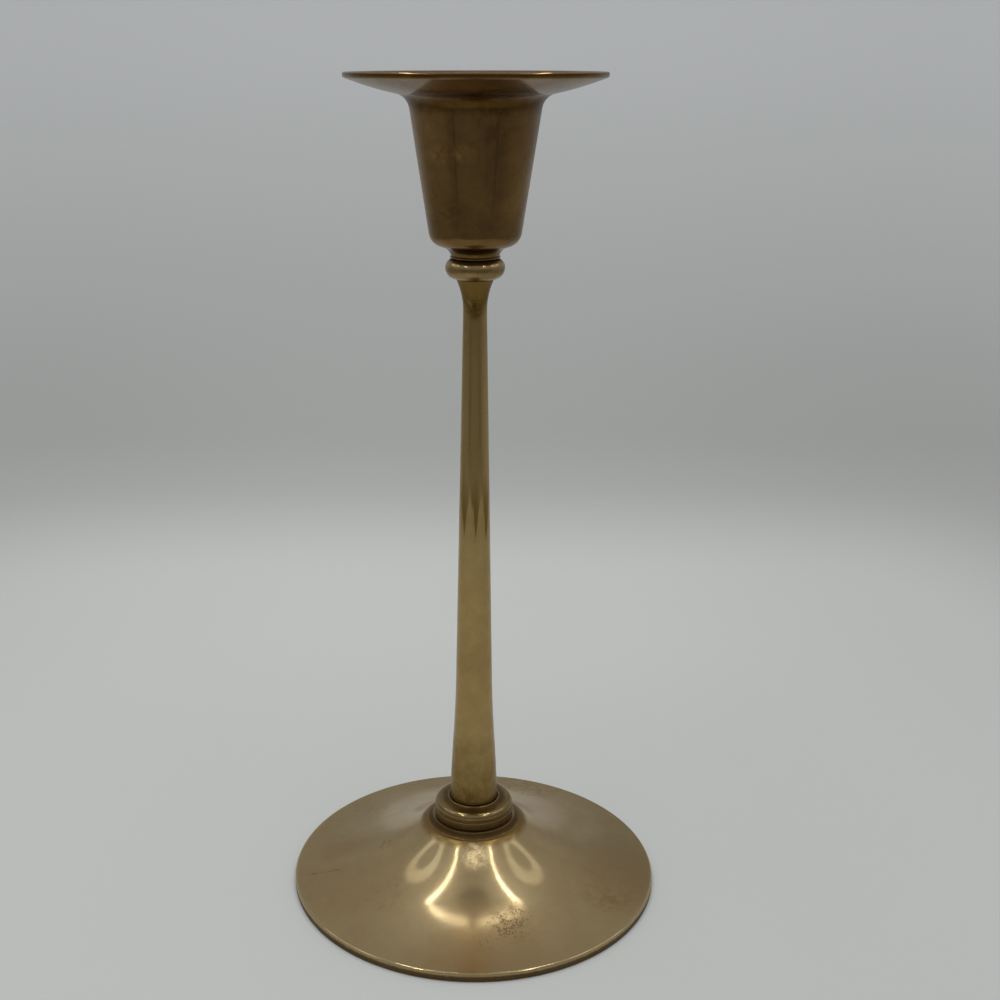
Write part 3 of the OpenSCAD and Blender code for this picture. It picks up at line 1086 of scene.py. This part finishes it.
@dataclass
class Stem:
    """The slender stem with the threaded tenon below it, in millimetres."""

    base_r: float = 7.75
    swell: float = 1.1
    swell_h: float = 42.0
    waist_r: float = 3.58
    top_r: float = 5.7
    flare_h: float = 9.3
    base_round: float = 0.8
    taper_step: float = 1.2
    tenon_r: float = 4.0
    tip_bevel: float = 0.3
    thread_d: float = 0.6
    thread_ends: Band = (0.4, 1.6)
    runout: Band = (1.0, 0.6)
    stud_hole_r: float = 2.1
    stud_depth: float = 8.3
    steps: int = 192
    waves: Waves = Waves(0.00003, 0.012, 3.0)

    WEAR = (
        Patch((0.0002, -0.0045, 0.1975), 0.0085, 1.6, Wear.STAINED, (1.8, 1.0, 0.8)),
        Patch((-0.0002, -0.0040, 0.1925), 0.0040, 0.9, Wear.PITTED, (1.5, 1.0, 0.7)),
        Patch((-0.003, -0.007, 0.031), 0.006, 0.5))
    FINISH = Brass(Slot.STEM, bright=(0.437, 0.307, 0.127), tarnish=(0.354, 0.234, 0.094),
                   film_tint=(0.5, 0.45, 0.24), roughness=0.105, cloud_size=0.02, patches=WEAR,
                   streaks=Streaks(0.1195, 0.1365), seed=3.0)

    def __post_init__(self) -> None:
        """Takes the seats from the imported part."""
        _, self.low, self.high = seat("stem")
        self.seat_z = seat("foot_collar")[2] - Foot.recess_d
        self.height = self.high - self.seat_z

    def radius(self, h: float) -> float:
        """Radius of the long taper and its swelling at height h above the seat.

        Args:
            h: The height, less than where the flare starts.

        Returns:
            The radius.
        """
        slim = self.base_r - self.swell
        straight = slim + (self.waist_r - slim) * h / (self.height - self.flare_h)
        return straight + (self.swell * (1 + cos(180 * h / self.swell_h)) / 2 if h < self.swell_h else 0.0)

    def outline(self) -> Outline:
        """The stem's outline, from the tenon's tip to the hole for the stud.

        Returns:
            The outline with its places of soiling and painted shade, wear and brown film.
        """
        core_r = self.tenon_r - self.thread_d
        out = self.top_r - self.waist_r
        flare_r = (out ** 2 + self.flare_h ** 2) / (2 * out)
        turn = math.degrees(math.asin(self.flare_h / flare_r))
        count = int((self.height - self.flare_h) / self.taper_step) - 2
        heights = [self.base_round + self.taper_step * (i + 1) for i in range(count)]
        points = [
            (0.0, self.low), (core_r - self.tip_bevel, self.low), (core_r, self.low + self.tip_bevel),
            (core_r, self.seat_z - self.runout[0]), (self.tenon_r, self.seat_z - self.runout[1]),
            (self.tenon_r, self.seat_z),
            *arc((self.radius(self.base_round) - self.base_round, self.seat_z + self.base_round),
                 self.base_round, -90, 0, step=6),
            *[(self.radius(h), self.seat_z + h) for h in heights],
            *arc((self.waist_r + flare_r, self.high - self.flare_h), flare_r, 180, 180 - turn, step=2),
            (self.stud_hole_r, self.high), (self.stud_hole_r, self.high - self.stud_depth),
            (0.0, self.high - self.stud_depth)]
        return Outline(
            points, ease=0.15, longest=2.0,
            grime_at=[((self.base_r - self.base_round, self.seat_z), 0.6), ((self.top_r, self.high), 0.35)],
            worn_at=[((self.waist_r, self.high - 46), 30.0)],
            film_at=[((self.base_r + 16, self.seat_z + 5), 34.0), ((self.waist_r + 5, self.high - 2), 13.0)])

    def build(self, lathe: Lathe, threader: "Threader") -> None:
        """Turns the stem and cuts its thread.

        Args:
            lathe: What turns the stem.
            threader: What winds its thread.
        """
        finish = self.FINISH.material()
        hold(lathe.turn("stem_spindle", self.outline(), finish, self.steps, self.waves), Slot.STEM, "stem")
        low, high = self.low + self.thread_ends[0], self.seat_z - self.thread_ends[1]
        hold(threader.cut("tenon_thread", self.tenon_r, low, high, finish), Slot.STEM)


@dataclass
class Knop:
    """The ring between the stem and the cup, in millimetres."""

    wide_h: float = 3.35
    foot_r: float = 5.9
    top_r: float = 7.2
    stud_clear_r: float = 2.2
    waves: Waves = Waves(0.00014, 0.0018, 4.0)

    FINISH = Brass(Slot.KNOP, bright=(0.34, 0.235, 0.105), tarnish=(0.24, 0.155, 0.062), roughness=0.13,
                   cloud_size=0.006, pit_share=0.3, seed=4.0)

    def outline(self) -> Outline:
        """The knop's outline: two arcs that meet at its widest ring.

        Returns:
            The outline with its places of soiling and painted shade, wear and brown film.
        """
        radius, low, high = seat("neck_knop")
        wide_z = low + self.wide_h
        low_turn = 2 * math.degrees(math.atan((radius - self.foot_r) / self.wide_h))
        low_r = self.wide_h / sin(low_turn)
        rest = high - wide_z
        top_turn = 2 * math.degrees(math.atan((radius - self.top_r) / rest))
        top_r = rest / sin(top_turn)
        points = [(self.stud_clear_r, low),
                  *arc((radius - low_r, wide_z), low_r, -low_turn, 0),
                  *arc((radius - top_r, wide_z), top_r, 0, top_turn),
                  (self.stud_clear_r, high)]
        return Outline(
            points, closed=True, ease=0.1,
            grime_at=[((self.foot_r, low), 0.6), ((self.top_r, high), 0.7)],
            worn_at=[((radius - 0.5, wide_z + 1.3), 1.1)],
            film_at=[((self.top_r, high), 2.0)])

    def build(self, lathe: Lathe) -> None:
        """Turns the knop."""
        knop = lathe.turn("knop_ring", self.outline(), self.FINISH.material(), waves=self.waves)
        hold(knop, Slot.KNOP, "neck_knop")


@dataclass
class Cup:
    """The cup with its neck, rim and candle socket, turned from one piece, in millimetres and degrees."""

    neck_r: float = 7.15
    neck_h: float = 1.0
    ring_r: float = 0.3
    cove_r: float = 3.65
    cove_slope: float = 75.0
    bottom_slope: float = 19.0
    low_r: float = 13.25
    corner_r: float = 4.45
    lean: float = 8.6
    fillet_r: float = 4.8
    rim_t: float = 1.6
    rim_in_slope: float = 12.0
    rim_out_slope: float = 21.0
    mouth_r: float = 7.0
    socket_r: float = 11.3
    socket_depth: float = 16.0
    socket_floor: float = 6.4
    stud_hole_r: float = 2.1
    stud_depth: float = 4.7
    edge_break: float = 0.3
    steps: int = 288
    waves: Waves = Waves(0.00004, 0.012, 5.0)

    WEAR = (
        Patch((-0.0107, -0.0136, 0.2370), 0.006, 0.24, Wear.RUBBED, (1.0, 1.0, 1.4)),
        Patch((-0.0036, -0.0169, 0.2375), 0.005, 0.24, Wear.RUBBED, (1.0, 1.0, 1.4)),
        Patch((-0.0130, -0.0125, 0.2437), 0.004, 0.15, Wear.RUBBED),
        Patch((0.0060, -0.0150, 0.2440), 0.010, 0.5, Wear.STAINED),
        Patch((-0.0070, -0.0130, 0.2200), 0.008, 0.5, Wear.STAINED))
    FINISH = Brass(Slot.CUP, bright=(0.265, 0.153, 0.055), tarnish=(0.162, 0.094, 0.034), roughness=0.07,
                   haze=0.32, tarnish_share=0.6, cloud_size=0.018, patches=WEAR, pit_share=0.12, seed=5.0)

    def outline(self) -> Outline:
        """The cup's outline, from the stud's hole up the outside, over the rim and down into the socket.

        Returns:
            The outline with its places of soiling and painted shade, wear and brown film.
        """
        rim_r, low, high = seat("cup")
        wall_slope = 90 - self.lean
        neck = (self.neck_r, low + self.neck_h)
        cove_end = Vector(neck) + bend_shift(self.cove_r, self.cove_slope, self.bottom_slope)
        corner = Vector((self.low_r, cove_end.y + (self.low_r - cove_end.x) * tan(self.bottom_slope)))
        reach = self.corner_r * tan((wall_slope - self.bottom_slope) / 2)
        edge_r = rim_r - self.edge_break
        shift = bend_shift(self.fillet_r, wall_slope, self.rim_in_slope)
        rise_share = tan((self.rim_in_slope + self.rim_out_slope) / 2)
        out = edge_r - shift.x - corner.x + corner.y * tan(self.lean)
        fillet_z = (high - self.rim_t - shift.y - rise_share * out) / (1 - rise_share * tan(self.lean))
        fillet = Vector((corner.x + (fillet_z - corner.y) * tan(self.lean), fillet_z))
        rim = fillet + shift
        rim_curve = (edge_r - rim.x) / (sin(self.rim_out_slope) - sin(self.rim_in_slope))
        under = bend(tuple(rim), rim_curve, self.rim_in_slope, self.rim_out_slope, step=0.5)
        over = [(r, z + self.rim_t) for r, z in under]
        mouth = Vector(over[0]) + self.mouth_r * Vector((sin(self.rim_in_slope), -cos(self.rim_in_slope)))
        floor_z = low + self.socket_floor
        socket_top = Vector((self.socket_r, floor_z + self.socket_depth))
        way = mouth - socket_top
        inner = math.degrees(math.atan2(way.y, way.x) + math.asin(self.mouth_r / way.length))
        ring_z = low + self.edge_break + self.ring_r
        points = [
            (0.0, low + self.stud_depth), (self.stud_hole_r, low + self.stud_depth), (self.stud_hole_r, low),
            (self.neck_r - self.edge_break, low), (self.neck_r, low + self.edge_break),
            *arc((self.neck_r, ring_z), self.ring_r, -90, 90, step=15),
            *bend(neck, self.cove_r, self.cove_slope, self.bottom_slope),
            *bend(tuple(corner - reach * Vector((cos(self.bottom_slope), sin(self.bottom_slope)))),
                  self.corner_r, self.bottom_slope, wall_slope, step=3),
            *bend(tuple(fillet), self.fillet_r, wall_slope, self.rim_in_slope, step=3),
            *under,
            (rim_r, high - self.rim_t + self.edge_break), (rim_r, high - self.edge_break),
            *reversed(over),
            *arc(tuple(mouth), self.mouth_r, 90 + self.rim_in_slope, 90 + inner, step=3),
            tuple(socket_top), (self.socket_r, floor_z), (0.0, floor_z)]
        return Outline(
            points, ease=0.15, longest=1.2,
            grime_at=[((self.neck_r, low), 0.5), (neck, 0.3), ((self.socket_r, floor_z), 1.8)],
            worn_at=[((rim_r - 0.2, high), 0.5)],
            film_at=[(tuple(fillet + shift * 0.4), 4.5), ((self.neck_r, low + 3.4), 3.4),
                     ((rim_r, high - 0.6), 0.8)])

    def build(self, lathe: Lathe) -> None:
        """Turns the cup."""
        cup = lathe.turn("cup_shell", self.outline(), self.FINISH.material(), self.steps, self.waves)
        hold(cup, Slot.CUP, "cup")


class Threader:
    """Winds screw threads with one geometry tree."""

    PITCH = 1.25
    STEPS = 48
    SIDES = 4

    def __init__(self) -> None:
        """Builds the tree."""
        self.tree = self._tree()

    def _tree(self) -> bpy.types.NodeTree:
        """The tree that sweeps a four-sided ridge along a helix.

        Returns:
            The tree, with named inputs.
        """
        inputs = {"Shaft": "Geometry", "Radius": "Float", "Pitch": "Float", "Length": "Float",
                  "Bottom": "Float", "Finish": "Material"}
        graph, (_, radius, pitch, length, bottom, finish) = new_tree("screw_thread", inputs)
        depth = pitch * 0.5
        middle = radius - depth
        sockets = {"Resolution": self.STEPS, "Rotations": length / pitch, "Start Radius": middle,
                   "End Radius": middle, "Height": length, "Reverse": False}
        helix = graph.node("GeometryNodeCurveSpiral", sockets=sockets)
        helix = graph.node("GeometryNodeSetCurveNormal", {"mode": "Z_UP"}, {"Curve": helix})
        sockets = {"Resolution": self.SIDES, "Radius": depth}
        ridge = graph.node("GeometryNodeCurvePrimitiveCircle", {"mode": "RADIUS"}, sockets)
        sockets = {"Curve": helix, "Profile Curve": ridge, "Fill Caps": True}
        shape = graph.node("GeometryNodeCurveToMesh", sockets=sockets)
        sockets = {"Geometry": shape, "Offset": graph.joined(0.0, 0.0, bottom)}
        return end_tree(graph, graph.node("GeometryNodeSetPosition", sockets=sockets), finish)

    def cut(self, name: str, radius: float, low: float, high: float,
            finish: bpy.types.Material) -> bpy.types.Object:
        """Winds a thread.

        Args:
            name: Name of the thread.
            radius: Radius over its crests, in millimetres.
            low: Height of its lower end.
            high: Height of its upper end.
            finish: Its material.

        Returns:
            The thread as a plain mesh.
        """
        half = self.PITCH / 2
        values = {"Radius": radius * MM, "Pitch": self.PITCH * MM, "Length": (high - low - 2 * half) * MM,
                  "Bottom": (low + half) * MM, "Finish": finish}
        return realized(name, bpy.data.meshes.new(name), self.tree, values)


@dataclass
class Fastening:
    """The nut and washer under the foot, and the stud inside the neck, in millimetres."""

    washer_gap: float = 0.2
    nut_flats: float = 13.0
    nut_sides: int = 6
    nut_bore_r: float = 4.1
    bore_bevel: Point = (0.5, 0.7)
    corner_bevel: float = 0.5
    bevel_rows: Band = (0.08, 0.3)
    edge_break: float = 0.15
    steps_per_side: int = 16
    washer_steps: int = 192
    stud_steps: int = 64
    stud_bare: float = 0.2

    FINISH = Brass(Slot.FASTENER, bright=(0.58, 0.47, 0.27), tarnish=(0.42, 0.32, 0.17), roughness=0.34,
                   cloud_size=0.008, marks_depth=0.01, seed=6.0)

    def washer_outline(self) -> Outline:
        """The washer's outline.

        Returns:
            The outline with its places of soiling and painted shade.
        """
        radius, low, high = seat("foot_washer")
        hole_r = Stem.tenon_r + self.washer_gap
        points = [(hole_r, low), (radius, low), (radius, high), (hole_r, high)]
        return Outline(points, closed=True, ease=0.25, grime_at=[((radius, high), 1.5), ((hole_r, low), 2.0)])

    def nut(self, finish: bpy.types.Material) -> bpy.types.Object:
        """The nut: six flats whose lower corners a turned bevel has cut to curves.

        Args:
            finish: Its material.

        Returns:
            The nut as a plain mesh.
        """
        _, low, high = seat("foot_nut")
        flat_r = self.nut_flats / 2
        bore_r, edge = self.nut_bore_r, self.edge_break
        side_turn = 360 / self.nut_sides
        count = self.nut_sides * self.steps_per_side
        verts: list[Vector] = []
        for i in range(count):
            angle = 360 * i / count
            side_r = flat_r / cos(angle % side_turn - side_turn / 2)
            bevel_z = low + (side_r - flat_r) * self.corner_bevel
            rows = [(bore_r, high), (bore_r, low + self.bore_bevel[1]), (bore_r + self.bore_bevel[0], low),
                    (flat_r - edge, low), *((side_r, bevel_z + rise) for rise in self.bevel_rows),
                    (side_r, high - edge), (side_r - edge, high)]
            verts += [Vector((r * cos(angle), r * sin(angle), z)) * MM for r, z in rows]
        per = len(rows)
        faces = [(i * per + k, i * per + (k + 1) % per, ((i + 1) % count) * per + (k + 1) % per,
                  ((i + 1) % count) * per + k) for i in range(count) for k in range(per)]
        mesh = new_mesh("hex_nut", verts, faces, finish)
        work = bmesh.new()
        work.from_mesh(mesh)
        bmesh.ops.recalc_face_normals(work, faces=work.faces)
        work.to_mesh(mesh)
        work.free()
        for name in POINT_VALUES:
            mesh.attributes.new(name, "FLOAT", "POINT")
        return new_object("hex_nut", mesh)

    def stud_outline(self) -> Outline:
        """The stud's core, inside its thread.

        Returns:
            The outline.
        """
        radius, low, high = seat("cup_stud")
        core = radius - Threader.PITCH / 2
        return Outline([(0.0, low), (core, low), (core, high), (0.0, high)], ease=0.2)

    def build(self, lathe: Lathe, threader: Threader) -> None:
        """Makes the stud, the washer and the nut.

        Args:
            lathe: What turns the round pieces.
            threader: What winds the stud's thread.
        """
        finish = self.FINISH.material()
        hold(lathe.turn("stud_rod", self.stud_outline(), finish, self.stud_steps), Slot.FASTENER, "cup_stud")
        radius, low, high = seat("cup_stud")
        thread = threader.cut("stud_thread", radius, low + self.stud_bare, high - self.stud_bare, finish)
        hold(thread, Slot.FASTENER)
        washer = lathe.turn("washer_disc", self.washer_outline(), finish, self.washer_steps)
        hold(washer, Slot.FASTENER, "foot_washer")
        hold(self.nut(finish), Slot.FASTENER, "foot_nut")


@dataclass(frozen=True)
class Change:
    """A change of tone that comes in over a band of one of the paper's measures."""

    measure: str
    band: Band
    amount: float


@dataclass
class Studio:
    """The floor, backdrop, lights and camera, in metres and degrees."""

    hole_r: float = 0.0596
    round_r: float = 0.07
    floor_r: float = 0.125
    sweep_r: float = 0.45
    squareness: float = 6.0
    steps: int = 192
    ceiling_z: float = 0.59
    lamp_z: float = 1.3
    lamp_size: float = 1.2
    lamp_watts: float = 16.3
    focal_px: float = 1378.0
    picture_px: float = 1000.0
    sensor_mm: float = 36.0
    camera_at: Spot = (-0.00374, -0.40758, 0.26302)
    camera_tilt: float = 17.812
    camera_reach: Band = (0.01, 20.0)
    axis_px: float = 462.5

    SURROUND = (0.38, 0.385, 0.383, 1.0)
    GLOW = (0.93, 1.0, 1.05, 1.0)
    SIDE_STRIP = ((0.270, -0.370), (0.264, -0.300), (0.250, -0.220), (0.212, -0.180), (0.198, -0.118),
                  (0.188, -0.055), (0.188, 0.160))
    SIDE_W, SIDE_GLOW = 0.021, 11.0
    BACK_STRIP = ((0.0, 0.156), (0.166, 0.156))
    BACK_W, BACK_GLOW = 0.015, 12.0
    RING_AT, RING_R, RING_W, RING_GLOW, RING_STEP = (0.54, 0.095), 0.175, 0.085, 1.3, 15

    PAPER_ROUGHNESS, PAPER_SPECULAR, PAPER_TONE = 0.9, 0.1, 0.462
    # Painted shading of the paper: darker low on the sweep, lighter higher up the walls. The side shade below
    # also paints it darker to the right and to either side, low down.
    PAPER_TONES = (Change("height", (0.0135, 0.042), -0.11), Change("height", (0.03, 0.062), -0.044),
                   Change("height", (0.05, 0.35), 0.135))
    SIDE_SHADE = (Change("across", (-0.08, 0.16), 0.045), Change("off", (0.06, 0.3), 0.08))
    SIDE_SHADE_Z = (0.02, 0.16)
    TINT_Z, LOW_TINT, HIGH_TINT = (0.0, 0.35), (0.977, 1.0, 0.972), (0.98, 1.0, 1.02)
    GLOOM_START, GLOOM_END, GLOOM_SIDES, GLOOM = (0.033, 0.045), (0.25, 0.42), (105, 140), 0.43
    GLOOM_CHANGES = (Change("height", (0.09, 0.14), 0.06), Change("aside", (50, 62), -0.14),
                     Change("right", (60, 80), -0.14), Change("right", (80, 115), -0.15),
                     Change("left", (80, 115), -0.04))
    CORNERS_AT, CORNER_BAND, CORNER_Z, CORNER_GLOOM = 40.5, (1, 3.5), (0.05, 0.058), 0.22
    LEFT_AT, LEFT_BAND, LEFT_GLOOM = 47, (2, 8), 0.07
    BACK_Z, BACK_SIDES, BACK_GLOOM = (0.1, 0.2), (140, 160), 0.12
    BACK_CHANGES = (Change("across", (0.05, 0.2), 0.25),)

    def camera(self) -> None:
        """Puts the camera where the photograph was taken from."""
        data = bpy.data.cameras.new("camera")
        data.sensor_width = self.sensor_mm
        data.lens = self.focal_px * self.sensor_mm / self.picture_px
        data.shift_x = (self.picture_px / 2 - self.axis_px) / self.picture_px
        data.clip_start, data.clip_end = self.camera_reach
        camera = new_object("camera", data)
        camera.location = self.camera_at
        camera.rotation_euler = (math.radians(90 - self.camera_tilt), 0.0, 0.0)
        bpy.context.scene.camera = camera

    def backdrop(self) -> None:
        """The pale floor, of a rounded square plan, that sweeps up into walls; seen only from inside."""
        steps, round_rings = self.steps, 2
        curve = arc((self.floor_r, self.sweep_r), self.sweep_r, -90, 0, step=2)
        points = [(self.hole_r, 0.0), (self.round_r, 0.0), *curve]
        verts, faces = [], []
        for ring, (r, z) in enumerate(points):
            power = 2.0 if ring < round_rings else self.squareness
            for i in range(steps):
                angle = 360 * i / steps
                x, y = cos(angle), sin(angle)
                reach = r / (abs(x) ** power + abs(y) ** power) ** (1 / power)
                verts.append((reach * x, reach * y, z))
                if ring:
                    a, b = ring * steps + i, ring * steps + (i + 1) % steps
                    faces.append((a - steps, a, b, b - steps))
        mesh = new_mesh("backdrop", verts, faces, self._paper())
        for face in mesh.polygons:
            face.use_smooth = True
        new_object("backdrop", mesh)

    def _paper(self) -> bpy.types.Material:
        """Pale paper that can't be seen from behind, with painted shading and tint that change with height
        and to the sides, and that mirrors as dark where the camera stands.

        Its tones follow these measures of a point: across is its place to the right, off is its distance to
        either side, and left, right and aside are its angle from the front, in degrees.

        Returns:
            The material.
        """
        material, graph = new_material("paper")
        x, y, z = graph.split(graph.place())
        turn = graph.maths("ARCTAN2", x, -1.0 * y) * math.degrees(1)
        aside = turn.size()
        measures = {"across": x, "off": x.size(), "height": z, "left": -1.0 * turn, "right": turn,
                    "aside": aside}

        def total(changes: tuple[Change, ...]) -> Channel:
            """The sum of some changes at a point."""
            return sum(measures[c.measure].ramp(*c.band) * c.amount for c in changes)

        def outside(measure: Channel, band: Band) -> Channel:
            """Full below a band and none above it."""
            return measure.ramp(*band, 1.0, 0.0)

        # Painted shading: the paper's tone follows height, and is darker to the right and to the sides low
        # down.
        shade = total(self.SIDE_SHADE) * outside(z, self.SIDE_SHADE_Z)
        tone = (self.PAPER_TONE + total(self.PAPER_TONES)) * (1.0 - shade)
        zone = z.ramp(*self.GLOOM_START) * outside(z, self.GLOOM_END) * outside(aside, self.GLOOM_SIDES)
        corners = outside((aside - self.CORNERS_AT).size(), self.CORNER_BAND) * z.ramp(*self.CORNER_Z)
        left = outside((turn + self.LEFT_AT).size(), self.LEFT_BAND)
        gloom = self.GLOOM + total(self.GLOOM_CHANGES) + left * self.LEFT_GLOOM + corners * self.CORNER_GLOOM
        back = z.ramp(*self.BACK_Z) * aside.ramp(*self.BACK_SIDES)
        back = back * (self.BACK_GLOOM + total(self.BACK_CHANGES))
        mirrored = graph.node("ShaderNodeLightPath", output="Is Glossy Ray")
        seen = tone * (1.0 - mirrored * (zone * gloom + back))
        tint = graph.blend(z.ramp(*self.TINT_Z), self.LOW_TINT, self.HIGH_TINT)
        colour = graph.blend(seen, (0.0, 0.0, 0.0), tint)
        sockets = {"Base Color": colour, "Roughness": self.PAPER_ROUGHNESS,
                   "Specular IOR Level": self.PAPER_SPECULAR}
        paper = graph.node("ShaderNodeBsdfPrincipled", sockets=sockets)
        behind = graph.node("ShaderNodeNewGeometry", output="Backfacing")
        clear = graph.node("ShaderNodeBsdfTransparent")
        graph.finish(graph.node("ShaderNodeMixShader", sockets={0: behind, 1: paper, 2: clear}))
        return material

    def lamp(self) -> None:
        """A soft square lamp overhead that lights the object and doesn't show in its polish."""
        data = bpy.data.lights.new("lamp_top", "AREA")
        data.shape = "SQUARE"
        data.size = self.lamp_size
        data.energy = self.lamp_watts
        lamp = new_object("lamp_top", data)
        lamp.location = (0.0, 0.0, self.lamp_z)
        lamp.rotation_euler = (-lamp.location).to_track_quat("-Z", "Y").to_euler()
        lamp.visible_glossy = False
        lamp.visible_camera = False

    def ribbon(self, name: str, path: tuple[Point, ...], width: float, strength: float,
               closed: bool = False) -> None:
        """A glowing ribbon under the ceiling that only shows in the polish, and its twin on the other side.

        Args:
            name: Name of the ribbon.
            path: Points along its middle, seen from above.
            width: How wide it is.
            strength: How bright it is.
            closed: Whether its ends join.
        """
        verts, faces = [], []
        for side in (-1, 1):
            line = [Vector((side * x, y, self.ceiling_z)) for x, y in path]
            first = len(verts)
            for i, point in enumerate(line):
                before = line[i - 1] if i or closed else point
                after = line[(i + 1) % len(line)] if i < len(line) - 1 or closed else point
                across = (after - before).cross(point).normalized() * width / 2
                verts += [point - across, point + across]
            pairs = [(i, (i + 1) % len(line)) for i in range(len(line) - (not closed))]
            faces += [(first + 2 * a, first + 2 * a + 1, first + 2 * b + 1, first + 2 * b) for a, b in pairs]
        material, graph = new_material(name)
        glow = {"Base Color": (0.0, 0.0, 0.0, 1.0), "Emission Color": self.GLOW,
                "Emission Strength": strength}
        graph.finish(graph.node("ShaderNodeBsdfPrincipled", sockets=glow))
        ribbon = new_object(name, new_mesh(name, verts, faces, material))
        ribbon.visible_camera = False
        ribbon.visible_diffuse = False
        ribbon.visible_shadow = False

    def ribbons(self) -> None:
        """The bright strips and rings overhead that the foot's polish mirrors."""
        self.ribbon("strips_side", self.SIDE_STRIP, self.SIDE_W, self.SIDE_GLOW)
        self.ribbon("strips_back", self.BACK_STRIP, self.BACK_W, self.BACK_GLOW)
        (x, y), radius = self.RING_AT, self.RING_R
        ring = tuple((x + radius * cos(a), y + radius * sin(a)) for a in range(0, 360, self.RING_STEP))
        self.ribbon("rings", ring, self.RING_W, self.RING_GLOW, closed=True)

    def world(self) -> None:
        """An even pale surround."""
        world = bpy.data.worlds.new("surround")
        bpy.context.scene.world = world
        world.use_nodes = True
        graph = Graph(world.node_tree)
        light = graph.node("ShaderNodeBackground", sockets={"Color": self.SURROUND, "Strength": 1.0})
        graph.finish(light, "ShaderNodeOutputWorld")

    def build(self) -> None:
        """Sets up the studio."""
        bpy.context.scene.view_settings.view_transform = "Standard"
        self.camera()
        self.backdrop()
        self.world()
        self.lamp()
        self.ribbons()


def main() -> None:
    """Builds the candlestick and the studio, and reports each piece."""
    logging.basicConfig(level=logging.INFO, format="%(message)s")
    lathe, threader = Lathe(), Threader()
    Foot().build(lathe)
    Stem().build(lathe, threader)
    Knop().build(lathe)
    Cup().build(lathe)
    Fastening().build(lathe, threader)
    Studio().build()


if __name__ == "__main__":
    main()
